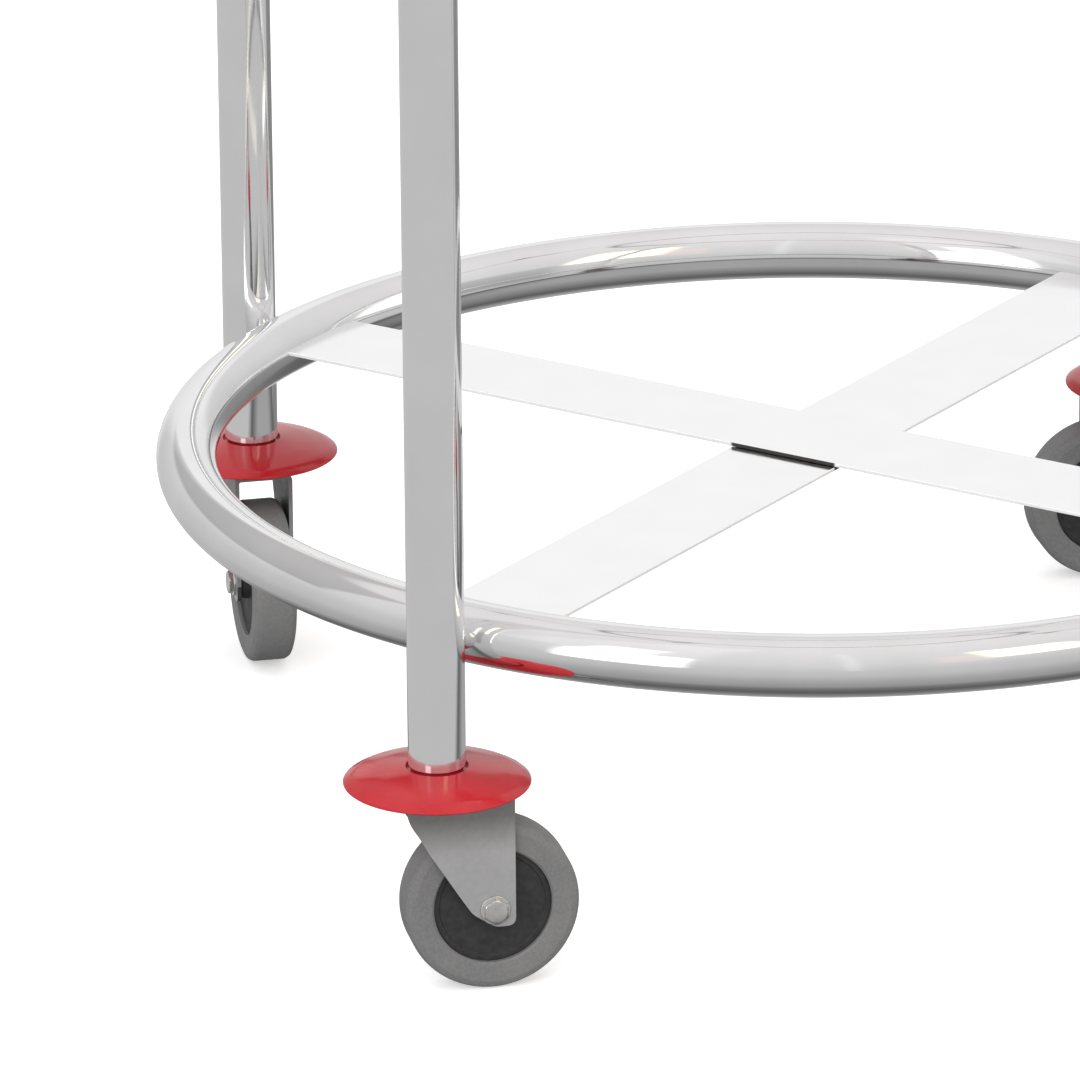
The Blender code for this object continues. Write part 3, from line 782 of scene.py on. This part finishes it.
def fork_section_outline():
    """The bent sheet's U section, across and up, about the axle."""
    low = 2 * (FORK_LOW - AXLE_Z)
    bend = (FORK_HALF - FORK_BEND_R, FORK_TOP - AXLE_Z - FORK_BEND_R)
    inner_bend_r = FORK_BEND_R - (FORK_HALF - FORK_INSIDE_HALF)
    right_outer = [(FORK_HALF, low)] + arc(bend, FORK_BEND_R, 0.0, 90.0, 8)
    right_inner = [(FORK_INSIDE_HALF, low)] + arc(bend, inner_bend_r, 0.0, 90.0, 6)
    left_outer = [(-x, y) for x, y in right_outer[::-1]]
    left_inner = [(-x, y) for x, y in right_inner]
    return right_outer + left_outer + left_inner + right_inner[::-1]


def drill_mesh(name, radius, reach):
    """A plain pin about Z that cuts a hole."""
    return turned(name, [(0, -reach), (radius, -reach), (radius, reach), (0, reach)], 32, bored=False)


def fork_mesh():
    """Fork about the axle: X along the trail, Y up, Z across."""
    reach = 90 * MM
    axle_hole_r = 4.3 * MM
    stem_hole_r = 5.8 * MM
    section = prism("fork_plate", fork_section_outline(), -reach, reach)
    section.transform(Matrix.Rotation(math.pi / 2, 4, "Y"))
    side = prism("fork_side", fork_side_outline(), -reach, reach)
    axle = drill_mesh("axle_hole", axle_hole_r, reach)
    stem = drill_mesh("stem_hole", stem_hole_r, 20 * MM)
    crown = Matrix.Translation((-TRAIL, FORK_TOP - AXLE_Z, 0))
    stem.transform(crown @ Matrix.Rotation(math.pi / 2, 4, "X"))
    guides = [bpy.data.objects.new(f"{mesh.name}_guide", mesh) for mesh in (side, axle, stem)]
    for guide in guides:
        bpy.context.scene.collection.objects.link(guide)

    def cut(body):
        for guide, operation in zip(guides, ("INTERSECT", "DIFFERENCE", "DIFFERENCE")):
            step = body.modifiers.new("cut", "BOOLEAN")
            step.operation = operation
            step.solver = "EXACT"
            step.object = guide
        add_bevel(body, 0.45 * MM, 3, 50.0)

    bend_low = FORK_TOP - AXLE_Z - FORK_BEND_R

    def edges_and_shaded_inside(face):
        """The sheared edges and the fork's inside, which take the nearly black painted shade."""
        outwards = face.normal.z * math.copysign(1.0, face.center.z)
        beside = abs(face.center.z) > FORK_INSIDE_HALF - 0.1 * MM
        in_plate = beside and face.center.y < bend_low
        under_crown = not beside and face.normal.y < -0.5
        return under_crown or in_plate and outwards < 0.5

    mesh = modified("fork_plate", section, cut, guides)
    # The cut edges, the inside and the underside of the crown get painted shade, nearly black.
    return second_finish(mesh, ZINC, FORK_PAINTED_SHADE, edges_and_shaded_inside)


def hexagon(vert):
    """Cut a turned vertex back to a hexagon where it stands beyond the flats."""
    radius = math.hypot(vert.co.x, vert.co.y)
    if abs(vert.co.z) < FLANGE_END + 0.1 * MM or radius < 1 * MM:
        return
    angle = math.degrees(math.atan2(vert.co.y, vert.co.x))
    from_flat = (angle + 30.0) % 60.0 - 30.0
    limit = HEX_FLAT_R / math.cos(math.radians(from_flat))
    if radius > limit:
        vert.co.x *= limit / radius
        vert.co.y *= limit / radius


def bolt_mesh():
    """Flanged hexagon bolt along Z, its head at +Z."""
    shank_r = 4 * MM
    tip = -24 * MM
    head_end = 21.6 * MM
    flange = [
        (shank_r, FORK_HALF),
        (FLANGE_R, FORK_HALF),
        (FLANGE_R, FLANGE_END, 0.5 * MM),
        (FLANGE_R - 1 * MM, FLANGE_END + 0.05 * MM),
    ]
    profile = [
        (0.0, tip),
        (shank_r - 0.8 * MM, tip),
        (shank_r, tip + 0.8 * MM),
        *fillet(flange, 0.2 * MM, 3),
        (HEX_CORNER_R, FLANGE_END + 0.2 * MM),
        (HEX_CORNER_R, head_end - 0.9 * MM),
        (7.0 * MM, head_end - 0.45 * MM),
        (6.2 * MM, head_end - 0.08 * MM),
        (5.7 * MM, head_end),
        (0.0, head_end),
    ]
    return turned("bolt", profile, 96, bored=False, reshape=hexagon)


def nut_mesh():
    """Flanged hexagon nut on the bolt's plain end, at -Z."""
    end = 22.6 * MM
    bore_r = 4.1 * MM
    profile = [
        (bore_r, -end + 0.4 * MM),
        (bore_r + 0.4 * MM, -end),
        (5.7 * MM, -end),
        (6.2 * MM, -end + 0.08 * MM),
        (7.0 * MM, -end + 0.45 * MM),
        (HEX_CORNER_R, -end + 0.9 * MM),
        (HEX_CORNER_R, -FLANGE_END - 0.2 * MM),
        (FLANGE_R - 1 * MM, -FLANGE_END - 0.05 * MM),
        (FLANGE_R - 0.3 * MM, -FLANGE_END + 0.1 * MM),
        (FLANGE_R, -FLANGE_END + 0.4 * MM),
        (FLANGE_R, -FORK_HALF),
        (bore_r, -FORK_HALF),
    ]
    return turned("nut", profile, 96, bored=True, reshape=hexagon)


def tyre_mesh():
    """Tyre with rounded shoulders and a fine groove beside the hub."""
    crown = AXLE_Z
    half = [
        (HUB_R, 11.6 * MM, 0.5 * MM),
        (HUB_R + 1.2 * MM, 12.6 * MM, 0.8 * MM),
        (crown - 4.6 * MM, 13.0 * MM, 2.4 * MM),
        (crown - 1.4 * MM, 11.8 * MM, 2.2 * MM),
        (crown, 9.2 * MM, 2.6 * MM),
    ]
    lower = [(radius, -height, size) for radius, height, size in half]
    return turned("tyre_ring", fillet(lower + half[::-1], 0.5 * MM, 6, closed=True), 160, bored=True)


def hub_mesh():
    """Hub disc with a raised rim, a shallow dish and a boss at its bore."""
    half = [
        (6.2 * MM, 14.5 * MM, 0.3 * MM),
        (10.2 * MM, 14.5 * MM, 0.8 * MM),
        (11.0 * MM, 9.2 * MM, 0.9 * MM),
        (29.6 * MM, 8.9 * MM, 0.5 * MM),
        (30.2 * MM, 9.6 * MM, 0.4 * MM),
        (HUB_R - 0.1 * MM, 9.6 * MM, 0.4 * MM),
    ]
    lower = [(radius, -height, size) for radius, height, size in half]
    return turned("hub_disc", fillet(lower + half[::-1], 0.4 * MM, 4, closed=True), 128, bored=True)


def sleeve_mesh():
    """Plain sleeve on the bolt between the fork's plates."""
    return tube("sleeve_tube", 6 * MM, 1.7 * MM, -14.7 * MM, 14.7 * MM, 0.3 * MM, 48)


def make_casters():
    """The four casters."""
    bumper = bumper_mesh()
    race = race_mesh()
    stem = stem_mesh()
    socket = socket_mesh()
    fork = fork_mesh()
    bolt = bolt_mesh()
    nut = nut_mesh()
    sleeve = sleeve_mesh()
    hub = hub_mesh()
    tyre = tyre_mesh()
    for name in LEG_NAMES:
        foot = upright_frame(name)
        axle = axle_frame(name)
        caster = f"caster_{name}"
        wheel = f"wheel_{name}"
        rows = (
            ("bumper_disc", bumper, RED, "frame", foot, "bumper", "red_plastic"),
            ("race_ring", race, STEEL, "frame", foot, "swivel_race", "steel"),
            ("stem_pin", stem, STEEL, "frame", foot, "caster_stem", "steel"),
            ("socket_insert", socket, BLACK, "frame", foot, "stem_socket", "black_plastic"),
            ("fork_plate", fork, ZINC, caster, axle, "fork", "zinc"),
            ("bolt", bolt, STEEL, caster, axle, "axle_bolt", "steel"),
            ("nut", nut, STEEL, caster, axle, "axle_nut", "steel"),
            ("sleeve_tube", sleeve, STEEL, caster, axle, "axle_sleeve", "steel"),
            ("hub_disc", hub, HUB, wheel, axle, "hub", "hub_plastic"),
            ("tyre_ring", tyre, RUBBER, wheel, axle, "tyre", "tyre_rubber"),
        )
        for piece, mesh, material, body, matrix, node, slot in rows:
            place(f"{piece}_{name}", mesh, material, body, matrix, [f"{node}_{name}"], slot)


# ---------------------------------------------------------------- studio

FLOOR_REACH = 30.0
SHADE_R = 0.47
WHITE = (1.0, 1.0, 1.0, 1.0)
BLACKEST = (0.0, 0.0, 0.0, 1.0)


def make_floor():
    """A wide pale floor, seen by the camera only.

    Chrome and undersides see the world's darker lower half in its place.
    """
    bm = bmesh.new()
    bmesh.ops.create_grid(bm, x_segments=8, y_segments=8, size=FLOOR_REACH)
    mesh = bpy.data.meshes.new("studio_floor")
    bm.to_mesh(mesh)
    bm.free()
    surface = Surface("studio_floor", Emission_Color=WHITE, Emission_Strength=0.42)
    surface.colour(surface.ramp(surface.noise(2.0, 3.0), (0.90, 0.90, 0.90), (0.93, 0.93, 0.93)))
    surface.roughness(surface.spread(surface.noise(5.0, 2.0), 0.85, 0.95))
    mesh.materials.append(surface.material)
    floor = bpy.data.objects.new("studio_floor", mesh)
    floor.location.z = -0.2 * MM
    floor.visible_glossy = False
    floor.visible_diffuse = False
    bpy.context.scene.collection.objects.link(floor)


def make_shade():
    """The floor in the rack's shade, as its chrome sees it: dim in the middle, dark at the ring."""
    bm = bmesh.new()
    bmesh.ops.create_circle(bm, cap_ends=True, radius=SHADE_R, segments=96)
    mesh = bpy.data.meshes.new("studio_shade")
    bm.to_mesh(mesh)
    bm.free()
    surface = Surface(
        "studio_shade", Base_Color=BLACKEST, Specular_IOR_Level=0.0, Emission_Color=WHITE,
    )
    level = surface.spread(surface.reach(), 0.40, 0.12, 0.5 * RING_R, RING_R)
    surface.tree.links.new(level, surface.shader.inputs["Emission Strength"])
    cover = surface.spread(surface.reach(), 1.0, 0.0, RING_R, SHADE_R)
    surface.tree.links.new(cover, surface.shader.inputs["Alpha"])
    mesh.materials.append(surface.material)
    shade = bpy.data.objects.new("studio_shade", mesh)
    shade.visible_camera = False
    shade.visible_diffuse = False
    shade.visible_shadow = False
    shade.visible_transmission = False
    bpy.context.scene.collection.objects.link(shade)


# The studio's brightness by the sine of elevation.
WALLS = (
    (-1.00, (0.21, 0.21, 0.21)),
    (-0.87, (0.35, 0.35, 0.35)),
    (-0.64, (0.44, 0.44, 0.44)),
    (-0.34, (0.58, 0.58, 0.58)),
    (0.00, (0.64, 0.64, 0.64)),
    (0.34, (0.75, 0.75, 0.75)),
    (0.77, (0.84, 0.82, 0.82)),
    (1.00, (0.90, 0.88, 0.88)),
)

# Lamps, bright cards and dark cards: azimuth from the camera's side, rightwards positive, then
# elevation, both in degrees, then the width of the soft edges and the level that each one adds.
LAMPS = (
    # soft box at the left, its top and the glow over it
    ((-45.0, -24.0), (-4.0, 29.0), 5.0, (1.60, 1.60, 1.65)),
    ((-44.0, -32.0), (29.0, 48.0), 5.0, (0.70, 0.70, 0.72)),
    ((-60.0, -22.0), (29.0, 74.0), 8.0, (0.09, 0.09, 0.10)),
    # warm lamp at the right and the glow beside it
    ((30.0, 49.0), (22.0, 46.0), 5.0, (1.60, 1.35, 0.80)),
    ((20.0, 31.0), (15.0, 36.0), 4.0, (0.12, 0.04, 0.00)),
    # window at the far right, and a thin pole by the camera
    ((82.0, 97.0), (8.0, 36.0), 5.0, (0.90, 0.90, 0.90)),
    ((3.5, 6.0), (0.0, 60.0), 1.5, (0.12, 0.12, 0.14)),
    # bright wall behind the rack, in two halves
    ((160.0, 190.0), (-16.0, 30.0), 8.0, (0.20, 0.20, 0.20)),
    ((-190.0, -162.0), (-16.0, 30.0), 8.0, (0.20, 0.20, 0.20)),
    # dark cards: behind left, right, and low behind right
    ((-166.0, -95.0), (14.0, 47.0), 4.0, (-0.25, -0.25, -0.25)),
    ((50.0, 80.0), (-12.0, 24.0), 8.0, (-0.20, -0.20, -0.20)),
    ((116.0, 166.0), (-46.0, -5.0), 8.0, (-0.32, -0.32, -0.32)),
)


class WorldNodes:
    """Short helpers for the world's nodes."""

    def __init__(self, tree):
        self.tree = tree

    def math(self, operation, *values):
        """A Math node on numbers and sockets."""
        node = self.tree.nodes.new("ShaderNodeMath")
        node.operation = operation
        for socket, value in zip(node.inputs, values):
            if isinstance(value, (int, float)):
                socket.default_value = value
            else:
                self.tree.links.new(value, socket)
        return node.outputs["Value"]

    def step(self, value, start, end):
        """A smooth rise from 0 at start to 1 at end."""
        node = self.tree.nodes.new("ShaderNodeMapRange")
        node.interpolation_type = "SMOOTHSTEP"
        node.inputs["From Min"].default_value = start
        node.inputs["From Max"].default_value = end
        self.tree.links.new(value, node.inputs["Value"])
        return node.outputs["Result"]

    def window(self, value, low, high, soft):
        """1 between low and high, falling to 0 over a soft edge."""
        rise = self.step(value, low - soft / 2, low + soft / 2)
        fall = self.step(value, high + soft / 2, high - soft / 2)
        return self.math("MULTIPLY", rise, fall)

    def ramp(self, value, levels):
        """Colours by a value from -1 to 1."""
        share = self.math("MULTIPLY_ADD", value, 0.5, 0.5)
        node = self.tree.nodes.new("ShaderNodeValToRGB")
        self.tree.links.new(share, node.inputs["Fac"])
        elements = node.color_ramp.elements
        while len(elements) < len(levels):
            elements.new(0.5)
        for element, (sine, colour) in zip(elements, levels):
            element.position = (sine + 1) / 2
            element.color = (*colour, 1.0)
        return node.outputs["Color"]

    def scaled(self, vector, scale):
        """A vector times a socket or a number."""
        node = self.tree.nodes.new("ShaderNodeVectorMath")
        node.operation = "SCALE"
        node.inputs["Vector"].default_value = vector
        self.tree.links.new(scale, node.inputs["Scale"])
        return node.outputs["Vector"]

    def added(self, first, second):
        """The sum of two colour or vector sockets."""
        node = self.tree.nodes.new("ShaderNodeVectorMath")
        node.operation = "ADD"
        self.tree.links.new(first, node.inputs[0])
        self.tree.links.new(second, node.inputs[1])
        return node.outputs["Vector"]


def make_world():
    """Studio walls and lamps, as brightness by direction."""
    world = bpy.data.worlds.new("studio")
    bpy.context.scene.world = world
    world.use_nodes = True
    tree = world.node_tree
    nodes = WorldNodes(tree)
    direction = tree.nodes.new("ShaderNodeTexCoord").outputs["Generated"]
    rotate = tree.nodes.new("ShaderNodeVectorRotate")
    rotate.rotation_type = "Z_AXIS"
    rotate.inputs["Angle"].default_value = -CAMERA_AZIMUTH
    tree.links.new(direction, rotate.inputs["Vector"])
    split = tree.nodes.new("ShaderNodeSeparateXYZ")
    tree.links.new(rotate.outputs["Vector"], split.inputs["Vector"])
    right, ahead, up = split.outputs
    near = nodes.math("MULTIPLY", ahead, -1.0)
    azimuth = nodes.math("DEGREES", nodes.math("ARCTAN2", right, near))
    elevation = nodes.math("DEGREES", nodes.math("ARCSINE", up))
    light = nodes.ramp(up, WALLS)
    for (start, end), (low, high), soft, level in LAMPS:
        across = nodes.window(azimuth, start, end, soft)
        upright = nodes.window(elevation, low, high, soft)
        light = nodes.added(light, nodes.scaled(level, nodes.math("MULTIPLY", across, upright)))
    tree.links.new(light, tree.nodes["Background"].inputs["Color"])


def area_light(name, place, target, size, power):
    """A rectangular soft light aimed at a point.  The chrome doesn't show it."""
    data = bpy.data.lights.new(name, "AREA")
    data.shape = "RECTANGLE"
    data.size, data.size_y = size
    data.energy = power
    light = bpy.data.objects.new(name, data)
    light.location = place
    aim = Vector(target) - Vector(place)
    light.rotation_euler = aim.to_track_quat("-Z", "Y").to_euler()
    light.visible_glossy = False
    bpy.context.scene.collection.objects.link(light)


def make_lights():
    """A broad soft top light and a soft key light."""
    area_light("top_soft", place=(0, 0, 4.0), target=(0, 0, 0), size=(5.0, 5.0), power=55)
    area_light("key_soft", place=(1.5, -4.0, 3.0), target=(0, 0, 0.2), size=(2.5, 2.0), power=53)


def make_camera():
    """Camera at the reference view."""
    ahead = Vector((
        -math.sin(CAMERA_AZIMUTH) * math.cos(CAMERA_TILT),
        math.cos(CAMERA_AZIMUTH) * math.cos(CAMERA_TILT),
        -math.sin(CAMERA_TILT),
    ))
    right = Vector((math.cos(CAMERA_AZIMUTH), math.sin(CAMERA_AZIMUTH), 0))
    up = right.cross(ahead)
    rolled_right = right * math.cos(CAMERA_ROLL) + up * math.sin(CAMERA_ROLL)
    rolled_up = up * math.cos(CAMERA_ROLL) - right * math.sin(CAMERA_ROLL)
    turn = Matrix((rolled_right, rolled_up, -ahead)).transposed().to_4x4()
    data = bpy.data.cameras.new("camera")
    data.lens = CAMERA_LENS
    data.sensor_width = 36.0
    data.clip_end = 100.0
    camera = bpy.data.objects.new("camera", data)
    camera.matrix_world = Matrix.Translation(CAMERA_PLACE) @ turn
    bpy.context.scene.collection.objects.link(camera)
    bpy.context.scene.camera = camera


make_camera()
make_base()
make_uprights()
make_upper_frame()
make_casters()
make_floor()
make_shade()
make_world()
make_lights()
bpy.context.scene.view_settings.view_transform = "Standard"

bpy.context.view_layer.update()
